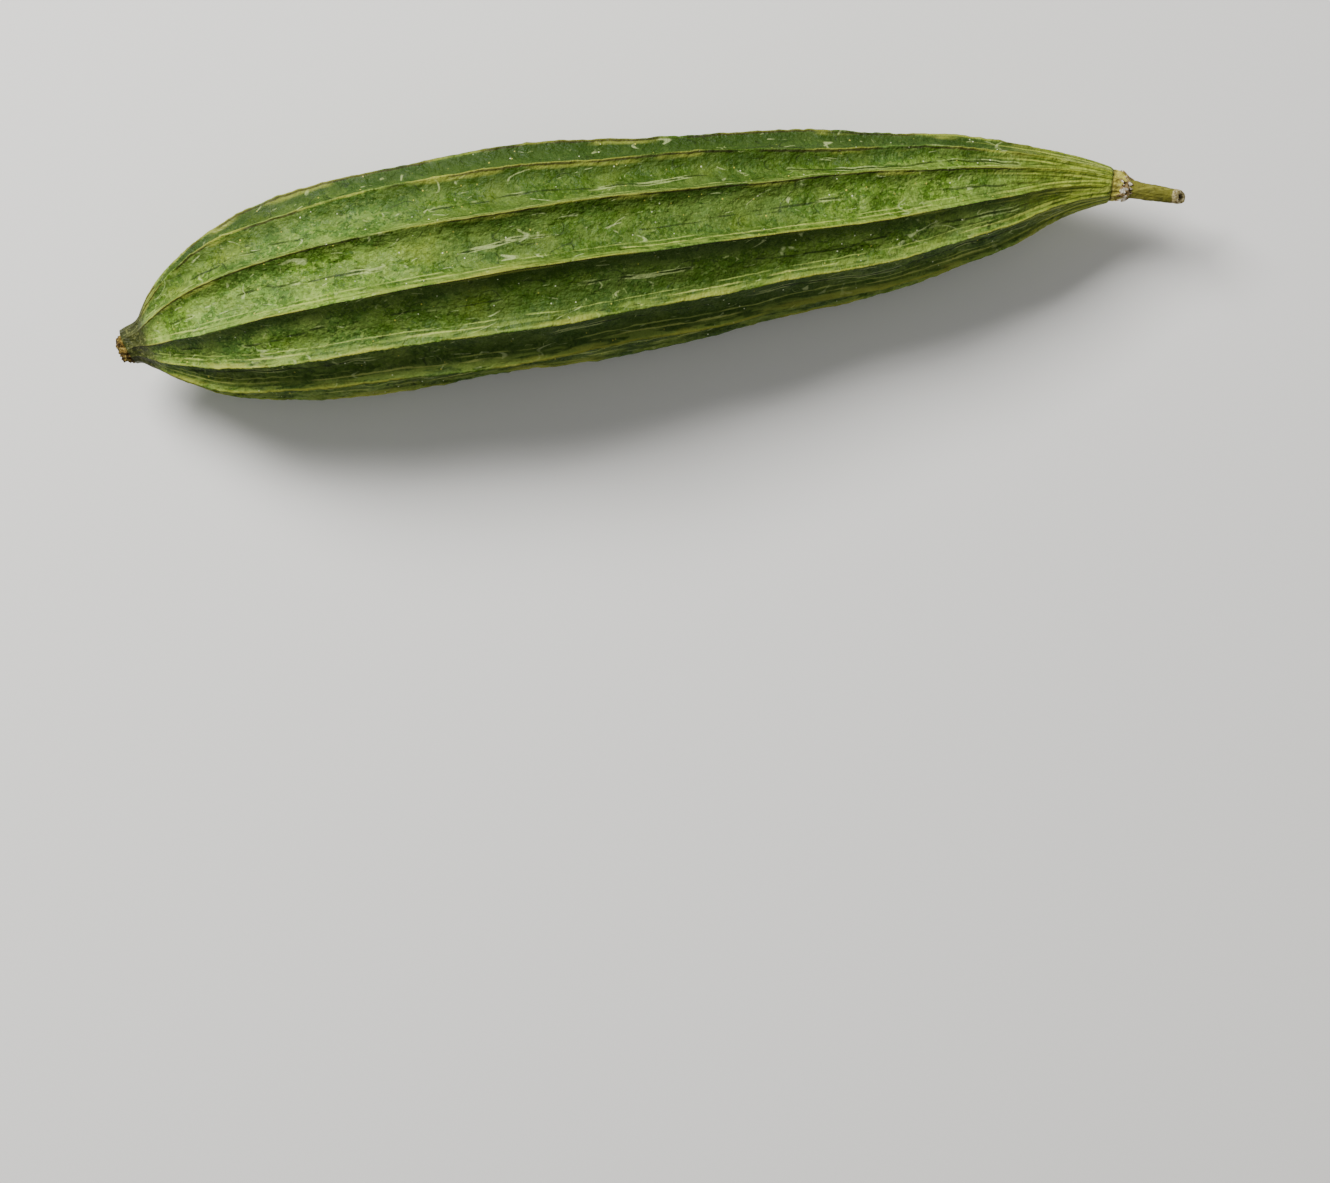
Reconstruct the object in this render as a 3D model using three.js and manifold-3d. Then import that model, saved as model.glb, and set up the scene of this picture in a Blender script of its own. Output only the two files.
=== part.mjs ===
// Ridge gourd (angled luffa) lying on a surface, in millimetres.
// +X runs along the fruit from the dried flower scar to the stem's cut end, and +Z is up.
// The gourd bends gently in plan and bears on two neighbouring ridges, which are pressed flat.
// Every station x is measured along the chord from the flower scar's tip.

import * as THREE from 'three';
import { LoftGeometry } from 'three/addons/geometries/LoftGeometry.js';
import { mergeVertices } from 'three/addons/utils/BufferGeometryUtils.js';
import Module from 'manifold-3d';

const LENGTH = 199.5;
const PIECE_GAP = 0.3;
const SCAR_THICKNESS = 2;
const FRUIT_START = SCAR_THICKNESS + PIECE_GAP;
const FRUIT_END = 186.2;
const STEM_START = FRUIT_END + PIECE_GAP;

// Centre line: sideways bow (+Y) and height above the surface, as [x, value] knots.
const BOW = [
  [0, -0.8], [3, 0.2], [6, 0.5], [15, 1.8], [33, 3.6], [72, 4.5], [112, 4.0], [145, 3.2], [172, 3.2],
  [180, 2.7], [186, 1.6], [190, 0.1], [LENGTH, -3.0],
];
const HEIGHT = [
  [0, 15.2], [18, 16.9], [48, 19.15], [75, 19.75], [98, 18.6], [125, 16.6], [158, 15.4], [186, 15.5],
  [LENGTH, 16.2],
];

// Radius out to the ridge crests, as [x, radius] knots.
const WIDEST_RADIUS = 20.9;
const CREST_RADIUS = [
  [FRUIT_START, 3.5], [4.5, 4.2], [9, 8.5], [17, 14.0], [26, 17.3], [38, 19.4], [56, 20.7], [78, WIDEST_RADIUS],
  [100, 19.5], [119, 17.4], [140, 15.3], [158, 12.1], [168, 9.3], [174, 7.2], [180, 5.2], [187, 3.1],
];

// Depth of the channels between ridges, as a share of the radius: shallow towards both necks.
const CHANNEL_DEPTH = [
  [2, 0.03], [6, 0.08], [14, 0.125], [24, 0.135], [120, 0.135], [160, 0.12], [178, 0.075], [187, 0.045],
];
const CHANNEL_POWER = 3;

// Ridges: bearing in degrees from straight up, positive towards -Y, and how far each strays from it
// at DRIFT_STATIONS. The ridges at 164 and 196 degrees are the pair that bears on the surface.
const DRIFT_STATIONS = [12, 75, 142, 178];
const RIDGES = [
  { bearing: 10, drift: [2, -1, 0, -2] },
  { bearing: 40, drift: [1, 1, 2, 0] },
  { bearing: 69, drift: [-3, -2, 4, 3] },
  { bearing: 100, drift: [-1, 1, 0, 2] },
  { bearing: 132, drift: [2, 0, -1, -3] },
  { bearing: 164, drift: [-2, 0, 0, 2] },
  { bearing: 196, drift: [2, 0, 0, -2] },
  { bearing: 226, drift: [-1, 0, 2, 3] },
  { bearing: 254, drift: [0, 0, 1, 3] },
  { bearing: 282, drift: [0, 0, 0, 2] },
  { bearing: 310, drift: [-1, 1, 1, 6] },
  { bearing: 338, drift: [0, 1, -3, 0] },
];
const RIDGE_WAVE = { height: 0.25, length: 46 };

// Points across one ridge-to-ridge channel: the first and last form the blunt crests.
const CHANNEL_STEPS = [0.02, 0.15, 0.36, 0.64, 0.85, 0.98];
const FRUIT_STATIONS = [
  FRUIT_START, 3.2, 4.5, 6.5, 9, 12, 15.5, 20, 25, 31, 38, 45, 52, 59, 66, 73, 80, 87, 94, 101, 108, 115,
  122, 129, 136, 142, 148, 153, 158, 163, 167.5, 171.5, 175, 178, 181, 184, FRUIT_END,
];

// The stem starts as a swollen, angular collar with a broken rim and goes on as a thin stalk.
const STEM = {
  sides: 5,
  steps: 20,
  cornerHeight: 0.05,
  radius: [
    [STEM_START, 2.95], [187.2, 2.75], [188.0, 2.5], [188.8, 2.15], [189.4, 1.85], [189.9, 1.65], [191, 1.6],
    [195, 1.45], [198, 1.3], [LENGTH, 1.15],
  ],
};

// The flower scar is a crinkled button with a raised rim.
const SCAR = {
  folds: 8,
  steps: 24,
  foldHeight: 0.06,
  radius: [[0, 1.3], [0.4, 2.1], [1.1, 2.5], [SCAR_THICKNESS, 2.35]],
};

const COLOURS = { fruit: 0x7a8e42, stem: 0x8a823e, scar: 0x6b5a30 };

/** Smooth curve through [x, value] knots: a cubic in each span, with slopes from the neighbours. */
function along(knots, x) {
  const last = knots.length - 1;
  let i = 0;
  while (i < last - 1 && x > knots[i + 1][0]) i += 1;
  const slopeAt = (k) => {
    const [a, b] = [knots[Math.max(k - 1, 0)], knots[Math.min(k + 1, last)]];
    return (b[1] - a[1]) / (b[0] - a[0]);
  };
  const [[x0, v0], [x1, v1]] = [knots[i], knots[i + 1]];
  const span = x1 - x0;
  const t = THREE.MathUtils.clamp((x - x0) / span, 0, 1);
  const rise = v1 - v0;
  const m0 = slopeAt(i) * span;
  const m1 = slopeAt(i + 1) * span;
  return v0 + t * (m0 + t * (3 * rise - 2 * m0 - m1 + t * (m0 + m1 - 2 * rise)));
}

/** Point on the centre line at a station. */
function spinePoint(x) {
  return new THREE.Vector3(x, along(BOW, x), along(HEIGHT, x));
}

/** Section square to the centre line at x, from [bearing, radius] pairs that wind around it. */
function section(x, polar) {
  const centre = spinePoint(x);
  const ahead = spinePoint(x + 0.5).sub(spinePoint(x - 0.5)).normalize();
  const side = new THREE.Vector3(0, 0, 1).cross(ahead).normalize();
  const up = new THREE.Vector3().crossVectors(ahead, side);
  return polar.map(([bearing, radius]) => centre.clone()
    .addScaledVector(up, radius * Math.cos(bearing))
    .addScaledVector(side, -radius * Math.sin(bearing)));
}

/** Bearing in radians of a ridge at a station; ridge 12 is ridge 0 after one full turn. */
function ridgeBearing(k, x) {
  const turn = Math.floor(k / RIDGES.length);
  const ridge = RIDGES[k % RIDGES.length];
  const drift = along(DRIFT_STATIONS.map((station, i) => [station, ridge.drift[i]]), x);
  return THREE.MathUtils.degToRad(ridge.bearing + drift + 360 * turn);
}

/** Crest radius of a ridge at a station, with a slow rise and fall of its own. */
function ridgeRadius(k, x) {
  const phase = 2.4 * (k % RIDGES.length);
  const wave = Math.sin(2 * Math.PI * x / RIDGE_WAVE.length + phase);
  const radius = along(CREST_RADIUS, x);
  return radius + RIDGE_WAVE.height * wave * (radius / WIDEST_RADIUS);
}

/** One cross section of the fruit: sharp ridges joined by hollow channels. */
function fruitSection(x) {
  const depth = along(CHANNEL_DEPTH, x);
  const polar = RIDGES.flatMap((ridge, k) => CHANNEL_STEPS.map((u) => {
    const crest = THREE.MathUtils.lerp(ridgeRadius(k, x), ridgeRadius(k + 1, x), u);
    const hollow = depth * (1 - Math.abs(2 * u - 1) ** CHANNEL_POWER);
    return [THREE.MathUtils.lerp(ridgeBearing(k, x), ridgeBearing(k + 1, x), u), crest * (1 - hollow)];
  }));
  return section(x, polar);
}

/** Section with evenly spaced low ribs, for the stem and the scar. */
function ribbedSection(x, radius, ribs, ribHeight, steps) {
  const polar = Array.from({ length: steps }, (_, i) => {
    const bearing = 2 * Math.PI * i / steps;
    return [bearing, radius * (1 + ribHeight * Math.cos(ribs * bearing))];
  });
  return section(x, polar);
}

/** Merged, position-only geometry made into a solid for a boolean cut. */
function solid(wasm, geometry) {
  const bare = new THREE.BufferGeometry();
  bare.setAttribute('position', geometry.attributes.position);
  bare.setIndex(geometry.index);
  const merged = mergeVertices(bare);
  return new wasm.Manifold(new wasm.Mesh({
    numProp: 3,
    vertProperties: new Float32Array(merged.attributes.position.array),
    triVerts: new Uint32Array(merged.index.array),
  }));
}

/** Everything below the surface is pressed flat, by cutting it off at z = 0. */
async function pressedFlat(geometry) {
  const wasm = await Module();
  wasm.setup();
  const block = new THREE.BoxGeometry(LENGTH, LENGTH, LENGTH);
  block.translate(LENGTH / 2, 0, -LENGTH / 2);
  const mesh = solid(wasm, geometry).subtract(solid(wasm, block)).getMesh();
  const pressed = new THREE.BufferGeometry();
  pressed.setAttribute('position', new THREE.BufferAttribute(mesh.vertProperties, 3));
  pressed.setIndex(new THREE.BufferAttribute(mesh.triVerts, 1));
  pressed.computeVertexNormals();
  return pressed;
}

function loft(sections) {
  return new LoftGeometry(sections, { capStart: true, capEnd: true });
}

function piece(name, geometry, color, roughness) {
  const mesh = new THREE.Mesh(geometry, new THREE.MeshStandardMaterial({ color, roughness, metalness: 0 }));
  mesh.name = name;
  return mesh;
}

function ribbedPiece(name, { radius, steps }, ribs, ribHeight, color) {
  const sections = radius.map(([x, r]) => ribbedSection(x, r, ribs, ribHeight, steps));
  return piece(name, loft(sections), color, 0.85);
}

const gourd = new THREE.Group();
gourd.add(
  piece('fruit', await pressedFlat(loft(FRUIT_STATIONS.map(fruitSection))), COLOURS.fruit, 0.5),
  ribbedPiece('stem', STEM, STEM.sides, STEM.cornerHeight, COLOURS.stem),
  ribbedPiece('blossom_scar', SCAR, SCAR.folds, SCAR.foldHeight, COLOURS.scar),
);
const box = new THREE.Box3().setFromObject(gourd);
const centre = box.getCenter(new THREE.Vector3());
gourd.position.set(-centre.x, -centre.y, -box.min.z);

export default gourd;
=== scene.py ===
"""Ridge gourd lying on a pale floor: a ribbed fruit, its stalk and its dried flower scar.

Shape classes work in millimetres along the gourd's own chord. Station 0 is the flower scar's tip
and the last station is the stalk's cut end. Meshes are put into the row frame in metres.
"""

import logging
import math
from dataclasses import dataclass
from enum import Enum

import bpy
import numpy as np
from numpy.typing import NDArray
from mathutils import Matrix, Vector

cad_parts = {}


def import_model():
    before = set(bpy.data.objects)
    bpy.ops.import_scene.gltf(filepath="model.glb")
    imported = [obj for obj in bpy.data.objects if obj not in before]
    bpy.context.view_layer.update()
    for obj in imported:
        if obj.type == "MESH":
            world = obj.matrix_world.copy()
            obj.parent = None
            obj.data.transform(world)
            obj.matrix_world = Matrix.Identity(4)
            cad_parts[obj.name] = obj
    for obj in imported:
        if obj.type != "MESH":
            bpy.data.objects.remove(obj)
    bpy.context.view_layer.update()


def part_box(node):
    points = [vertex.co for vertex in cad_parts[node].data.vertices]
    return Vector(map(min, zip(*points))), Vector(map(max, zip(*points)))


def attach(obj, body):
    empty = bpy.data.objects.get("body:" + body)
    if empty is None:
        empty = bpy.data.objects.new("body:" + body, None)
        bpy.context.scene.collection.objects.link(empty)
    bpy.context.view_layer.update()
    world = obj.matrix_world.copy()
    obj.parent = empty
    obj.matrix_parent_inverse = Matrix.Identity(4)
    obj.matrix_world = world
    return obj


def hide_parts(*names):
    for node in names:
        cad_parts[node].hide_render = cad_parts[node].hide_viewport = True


Array = NDArray[np.float64]
Paint = bpy.types.NodeSocket | tuple[float, float, float, float]

LOG = logging.getLogger("ridge_gourd")
MM = 0.001
FULL_TURN = 2 * math.pi

# Share of the fruit's greatest girth that its noise is laid around.
MEAN_TO_WIDEST = 0.8
# Farther from a line, in mm, than any mark beside it reaches.
OUT_OF_REACH = 3.0
# Usual distance of a noise texture's values from their middle.
NOISE_SPREAD = 0.25
# Metres along X and Y between the places of two marks' patterns.
PATTERN_SHIFT = (0.37, 0.11)


class Node(Enum):
    """CAD nodes that the pieces stand for."""

    FRUIT = "fruit"
    STEM = "stem"
    SCAR = "blossom_scar"


class Measure(Enum):
    """Values over a piece's own surface, kept on its points for the finishes.

    They are in mm, apart from the painted shade, which is a share: how far a channel's colour is
    darkened to stand for shade. CREST and VEIN are distances from the nearest ridge crest and
    channel vein. SIDE has CREST's size near a crest, is positive below it and negative above it,
    and passes through zero in mid-channel.
    """

    CREST = "crest_mm"
    SIDE = "side_mm"
    VEIN = "vein_mm"
    STATION = "station_mm"
    RADIUS = "radius_mm"
    PAINTED_SHADE = "shade"


class Pattern(Enum):
    """Procedural patterns that a finish may use."""

    CLOUDS = "noise from 0 to 1"
    THREADS = "distance of the noise from its middle value, which is small along thin winding lines"
    DOTS = "distance to the nearest cell's middle, in cells"
    TILES = "a random value from 0 to 1 for each cell"


# ---------------------------------------------------------------- curves, noise and meshes


@dataclass(frozen=True)
class SmoothCurve:
    """A smooth curve through a few knots, each a station and a value in mm."""

    knots: tuple[tuple[float, float], ...]

    def at(self, stations: Array) -> Array:
        """Values at the stations.

        Each span between two knots is a cubic. Its slope at a knot is the rise over the run
        between that knot's two neighbours, so spans meet without a kink.

        Args:
            stations: Places along the curve, in mm.

        Returns:
            The curve's value at each station.
        """
        knot_x, knot_v = np.array(self.knots, float).T
        index = np.arange(len(knot_x))
        before, after = np.maximum(index - 1, 0), np.minimum(index + 1, len(knot_x) - 1)
        slope = (knot_v[after] - knot_v[before]) / (knot_x[after] - knot_x[before])
        i = np.clip(np.searchsorted(knot_x, stations) - 1, 0, len(knot_x) - 2)
        span = knot_x[i + 1] - knot_x[i]
        t = np.clip((stations - knot_x[i]) / span, 0, 1)
        rise = knot_v[i + 1] - knot_v[i]
        first, last = slope[i] * span, slope[i + 1] * span
        return knot_v[i] + t * (first + t * (3 * rise - 2 * first - last + t * (first + last - 2 * rise)))


def noise(rng: np.random.Generator, counts: tuple[int, ...], lengths: tuple[float, ...],
          sizes: tuple[float, ...]) -> Array:
    """Smooth seeded noise on a grid, with lumps of about one size and a spread of one.

    White noise is filtered in frequency: with q twice the sum of the squared products of frequency
    and lump size, each frequency is scaled by q times e to the minus q. That passes one band, and the
    result wraps round in every direction, so a closed section shows no seam.

    Args:
        rng: Seeded random generator.
        counts: Number of grid points in each direction.
        lengths: Length that the grid covers in each direction, in mm.
        sizes: Size of the lumps in each direction, in mm.

    Returns:
        The noise, with the shape in counts.
    """
    axes = [np.fft.fftfreq(n, d=length / n) * size for n, length, size in zip(counts, lengths, sizes)]
    q = 2 * sum(np.square(grid) for grid in np.meshgrid(*axes, indexing="ij"))
    field = np.real(np.fft.ifftn(np.fft.fftn(rng.standard_normal(counts)) * q * np.exp(-q)))
    return field / field.std()


def bell(distance: Array, width: float) -> Array:
    """Gaussian bell: one at no distance, falling to 0.37 at the width."""
    return np.exp(-np.square(distance / width))


def step(value: Array, low: float, high: float) -> Array:
    """Smooth step from 0 at low to 1 at high."""
    t = np.clip((value - low) / (high - low), 0, 1)
    return t * t * (3 - 2 * t)


def mix(first: Array, second: Array, share: Array) -> Array:
    """Straight blend from first to second."""
    return first + (second - first) * share


@dataclass(frozen=True)
class Lumps:
    """Relief made of noise.

    Attributes:
        height: Spread of its height, in mm unless its user says otherwise.
        sizes: Size of its lumps in each direction, in mm.
    """

    height: float
    sizes: tuple[float, ...]

    def relief(self, rng: np.random.Generator, counts: tuple[int, ...],
               lengths: tuple[float, ...]) -> Array:
        """The relief on a grid of so many points and of such lengths in mm."""
        return self.height * noise(rng, counts, lengths, self.sizes)


@dataclass(frozen=True)
class Bead:
    """A rounded rise along a line, or a groove where its height is negative.

    Attributes:
        height: Height on the line, in mm.
        width: Distance from the line, in mm, at which 0.37 of the height is left.
        place: Where the line lies on the measure that the bead is given, in mm.
    """

    height: float
    width: float
    place: float = 0.0

    def relief(self, distance: Array) -> Array:
        """Height of the bead at each value of the measure."""
        return self.height * bell(distance - self.place, self.width)


@dataclass(frozen=True)
class CentreLine:
    """The gourd's axis: how far it bows sideways and how high it lies above the floor."""

    bow: SmoothCurve
    height: SmoothCurve
    origin: tuple[float, float] = (0.0, 0.0)

    def points(self, stations: Array) -> Array:
        """Points on the axis, one row of x, y, z for each station, in mm."""
        x, y = self.origin
        return np.stack([stations + x, self.bow.at(stations) + y, self.height.at(stations)], axis=-1)

    def sections(self, stations: Array, bearings: Array, radii: Array, ahead: Array | float = 0.0) -> Array:
        """Sections square to the axis.

        A point is the axis point, plus the radius times the cosine of its bearing along the
        section's up direction, minus the radius times the sine along its side direction, plus
        its own offset ahead along the axis.

        Args:
            stations: One station for each section, in mm.
            bearings: Bearing of each point from straight up towards -Y, in radians.
            radii: Distance of each point from the axis, in mm.
            ahead: Offset of each point along the axis, in mm.

        Returns:
            Points in mm, shaped sections by points by 3.
        """
        tangent = self.points(stations + 0.5) - self.points(stations - 0.5)
        tangent /= np.linalg.norm(tangent, axis=1, keepdims=True)
        side = np.cross([0.0, 0.0, 1.0], tangent)
        side /= np.linalg.norm(side, axis=1, keepdims=True)
        up = np.cross(tangent, side)
        out = np.cos(bearings)[..., None] * up[:, None]
        out = out - np.sin(bearings)[..., None] * side[:, None]
        offset = np.broadcast_to(ahead, radii.shape)[..., None] * tangent[:, None]
        return self.points(stations)[:, None] + radii[..., None] * out + offset


def skin_mesh(name: str, rings: Array, measures: dict[Measure, Array],
              capped: bool = True) -> bpy.types.Object:
    """Makes a closed piece from rings of points.

    Neighbouring rings are joined by four-sided faces. A capped piece is closed by a fan of
    triangles to the middle of its first and last ring. An uncapped one joins its last ring to its
    first, as a torus does.

    Args:
        name: Name of the piece.
        rings: Points in mm, shaped rings by points by 3, wound so that faces point outwards.
        measures: One value for each ring point, for the finishes.
        capped: Whether the ends are closed by fans.

    Returns:
        The piece, at the origin, with its place in its mesh.
    """
    count, around = rings.shape[:2]
    index = np.arange(count * around).reshape(count, around)
    upper = index[1:] if capped else np.roll(index, -1, axis=0)
    lower = index[:-1] if capped else index
    quads = np.stack([lower, np.roll(lower, -1, 1), np.roll(upper, -1, 1), upper], axis=-1).reshape(-1, 4)
    points, faces = rings.reshape(-1, 3), quads.tolist()
    values = {measure: np.asarray(value, float).reshape(-1) for measure, value in measures.items()}
    if capped:
        first, last = index[0], index[-1]
        poles = [len(points), len(points) + 1]
        points = np.concatenate([points, rings[[0, -1]].mean(axis=1)])
        fan = np.stack([np.roll(first, -1), first, np.full(around, poles[0])], axis=-1)
        end_fan = np.stack([last, np.roll(last, -1), np.full(around, poles[1])], axis=-1)
        faces += np.concatenate([fan, end_fan]).tolist()
        for measure, value in values.items():
            ends = [value[first].mean(), value[last].mean()]
            values[measure] = np.concatenate([value, ends])
    mesh = bpy.data.meshes.new(name)
    mesh.from_pydata((points * MM).tolist(), [], faces)
    mesh.shade_smooth()
    for measure, value in values.items():
        attribute = mesh.attributes.new(measure.value, "FLOAT", "POINT")
        attribute.data.foreach_set("value", value.astype(np.float32))
    piece = bpy.data.objects.new(name, mesh)
    bpy.context.scene.collection.objects.link(piece)
    return piece


# ---------------------------------------------------------------- finishes


def linear(code: str) -> tuple[float, float, float, float]:
    """Linear colour, with alpha, of an sRGB hex value such as 7A8E42."""
    channels = np.array([int(code[i:i + 2], 16) for i in (0, 2, 4)]) / 255
    low, high = channels / 12.92, ((channels + 0.055) / 1.055) ** 2.4
    return (*np.where(channels <= 0.04045, low, high).tolist(), 1.0)


def add(tree: bpy.types.NodeTree, kind: str, inputs: dict[int | str, object] | None = None,
        **settings: object) -> bpy.types.Node:
    """Adds one node to a material.

    Args:
        tree: The material's node tree.
        kind: Blender's name for the kind of node.
        inputs: For each input socket, an output socket to link or a value to set.
        **settings: Properties of the node.

    Returns:
        The new node.
    """
    made = tree.nodes.new(kind)
    for name, value in settings.items():
        setattr(made, name, value)
    for key, value in (inputs or {}).items():
        if isinstance(value, bpy.types.NodeSocket):
            tree.links.new(value, made.inputs[key])
        else:
            made.inputs[key].default_value = value
    return made


@dataclass(frozen=True)
class Blotch:
    """Where a pattern passes a threshold.

    Attributes:
        size: Size of the pattern's lumps or cells, in mm.
        window: Pattern values where the mark starts to show and where it is full. The first is
            the larger one for a mark that shows in the pattern's low places.
        stretch: How much longer the lumps are along X than across.
        detail: Octaves of finer pattern, for the two patterns made of noise.
        pattern: Which pattern is used.
        ragged: How far finer noise moves the pattern, in mm.
    """

    size: float
    window: tuple[float, float]
    stretch: float = 1.0
    detail: float = 3.0
    pattern: Pattern = Pattern.CLOUDS
    ragged: float = 0.0


@dataclass(frozen=True)
class Band:
    """A stretch of one of the surface's measures.

    Attributes:
        measure: The measure.
        window: Its values where the band starts to show and where it is full.
        waver: How far noise moves the band's edge, in the measure's own unit.
        waver_size: Size of that noise, in mm.
    """

    measure: Measure
    window: tuple[float, float]
    waver: float = 0.0
    waver_size: float = 3.0


Mark = Blotch | Band


@dataclass(frozen=True)
class Coat:
    """A coat of colour, an sRGB hex value, that shows where all its marks do."""

    colour: str
    strength: float
    marks: tuple[Mark, ...]


@dataclass(frozen=True)
class Relief:
    """A bump, up or down by its height in mm, where all its marks show."""

    height: float
    marks: tuple[Mark, ...]


@dataclass(frozen=True)
class PlantFinish:
    """A plant surface: a base colour under coats of colour, with a fine relief and a broken gloss."""

    name: str
    base: str
    coats: tuple[Coat, ...]
    reliefs: tuple[Relief, ...]
    roughness: tuple[float, float]
    roughness_size: float = 3.0
    specular: float = 0.15

    def material(self) -> bpy.types.Material:
        """Builds the material.

        Returns:
            A material whose coats lie over each other in the order in which they are listed.
        """
        made = bpy.data.materials.new(self.name)
        made.use_nodes = True
        tree = made.node_tree
        tree.nodes.clear()
        place = add(tree, "ShaderNodeTexCoord").outputs["Object"]
        paint: Paint = linear(self.base)
        for number, coat in enumerate(self.coats):
            cover = self._cover(tree, place, coat.marks, coat.strength, 3 * number)
            paint = add(tree, "ShaderNodeMix", {0: cover, 6: paint, 7: linear(coat.colour)},
                        data_type="RGBA").outputs[2]
        height: Paint | float = 0.0
        for number, relief in enumerate(self.reliefs):
            raised = self._cover(tree, place, relief.marks, relief.height * MM, 3 * number + 100)
            height = add(tree, "ShaderNodeMath", {0: height, 1: raised}).outputs[0]
        bump = add(tree, "ShaderNodeBump", {"Height": height, "Distance": 1.0, "Strength": 1.0})
        gloss = add(tree, "ShaderNodeTexNoise", {"Vector": place, "Scale": 1 / (self.roughness_size * MM)})
        rough = add(tree, "ShaderNodeMapRange", {0: gloss.outputs[0], 1: 0.35, 2: 0.65,
                                                 3: self.roughness[0], 4: self.roughness[1]})
        shader = add(tree, "ShaderNodeBsdfPrincipled", {
            "Base Color": paint, "Normal": bump.outputs[0], "Roughness": rough.outputs[0], "IOR": 1.45,
            "Specular IOR Level": self.specular})
        add(tree, "ShaderNodeOutputMaterial", {"Surface": shader.outputs[0]})
        return made

    def _pattern(self, tree: bpy.types.NodeTree, place: Paint, mark: Blotch, number: int) -> Paint:
        """Pattern value of a blotch.

        Args:
            tree: The material's node tree.
            place: Object coordinates.
            mark: The blotch.
            number: A different number for each mark, which moves its pattern to a place of its own.

        Returns:
            Socket with the value that the pattern's name describes.
        """
        shift_x, shift_y = PATTERN_SHIFT
        spot = {"Location": (shift_x * number, shift_y * number, 0.0),
                "Scale": (1 / mark.stretch, 1.0, 1.0)}
        moved = add(tree, "ShaderNodeMapping", {"Vector": place, **spot}).outputs[0]
        if mark.ragged:
            finer = 2 / (mark.size * MM)
            shake = add(tree, "ShaderNodeTexNoise", {"Vector": moved, "Scale": finer}).outputs[1]
            twice = (2 * mark.ragged * MM,) * 3
            moved = add(tree, "ShaderNodeVectorMath", {0: shake, 1: twice, 2: moved},
                        operation="MULTIPLY_ADD").outputs[0]
        inputs: dict[int | str, object] = {"Vector": moved, "Scale": 1 / (mark.size * MM)}
        if mark.pattern in (Pattern.DOTS, Pattern.TILES):
            cells = add(tree, "ShaderNodeTexVoronoi", inputs)
            if mark.pattern is Pattern.DOTS:
                return cells.outputs["Distance"]
            return add(tree, "ShaderNodeSeparateColor", {0: cells.outputs["Color"]}).outputs[0]
        value = add(tree, "ShaderNodeTexNoise", {**inputs, "Detail": mark.detail}).outputs[0]
        if mark.pattern is Pattern.CLOUDS:
            return value
        centred = add(tree, "ShaderNodeMath", {0: value, 1: 0.5}, operation="SUBTRACT").outputs[0]
        return add(tree, "ShaderNodeMath", {0: centred}, operation="ABSOLUTE").outputs[0]

    def _cover(self, tree: bpy.types.NodeTree, place: Paint, marks: tuple[Mark, ...], most: float,
               number: int) -> Paint:
        """Where marks show together: the product of how much each one shows.

        Args:
            tree: The material's node tree.
            place: Object coordinates.
            marks: The marks.
            most: The result where every mark is full.
            number: The first mark's own number for its pattern.

        Returns:
            Socket with the result, from 0 to most.
        """
        cover: Paint | float = most
        for mark in marks:
            if isinstance(mark, Blotch):
                value = self._pattern(tree, place, mark, number)
            else:
                value = add(tree, "ShaderNodeAttribute", attribute_name=mark.measure.value).outputs["Fac"]
                if mark.waver:
                    shake = self._pattern(tree, place, Blotch(mark.waver_size, (0, 1)), number)
                    shake = add(tree, "ShaderNodeMath", {0: shake, 1: 0.5}, operation="SUBTRACT").outputs[0]
                    reach = mark.waver / NOISE_SPREAD
                    value = add(tree, "ShaderNodeMath", {0: shake, 1: reach, 2: value},
                                operation="MULTIPLY_ADD").outputs[0]
            shown = add(tree, "ShaderNodeMapRange", {0: value, 1: mark.window[0], 2: mark.window[1]},
                        interpolation_type="SMOOTHSTEP").outputs[0]
            cover = add(tree, "ShaderNodeMath", {0: cover, 1: shown}, operation="MULTIPLY").outputs[0]
            number += 1
        return cover
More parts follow.
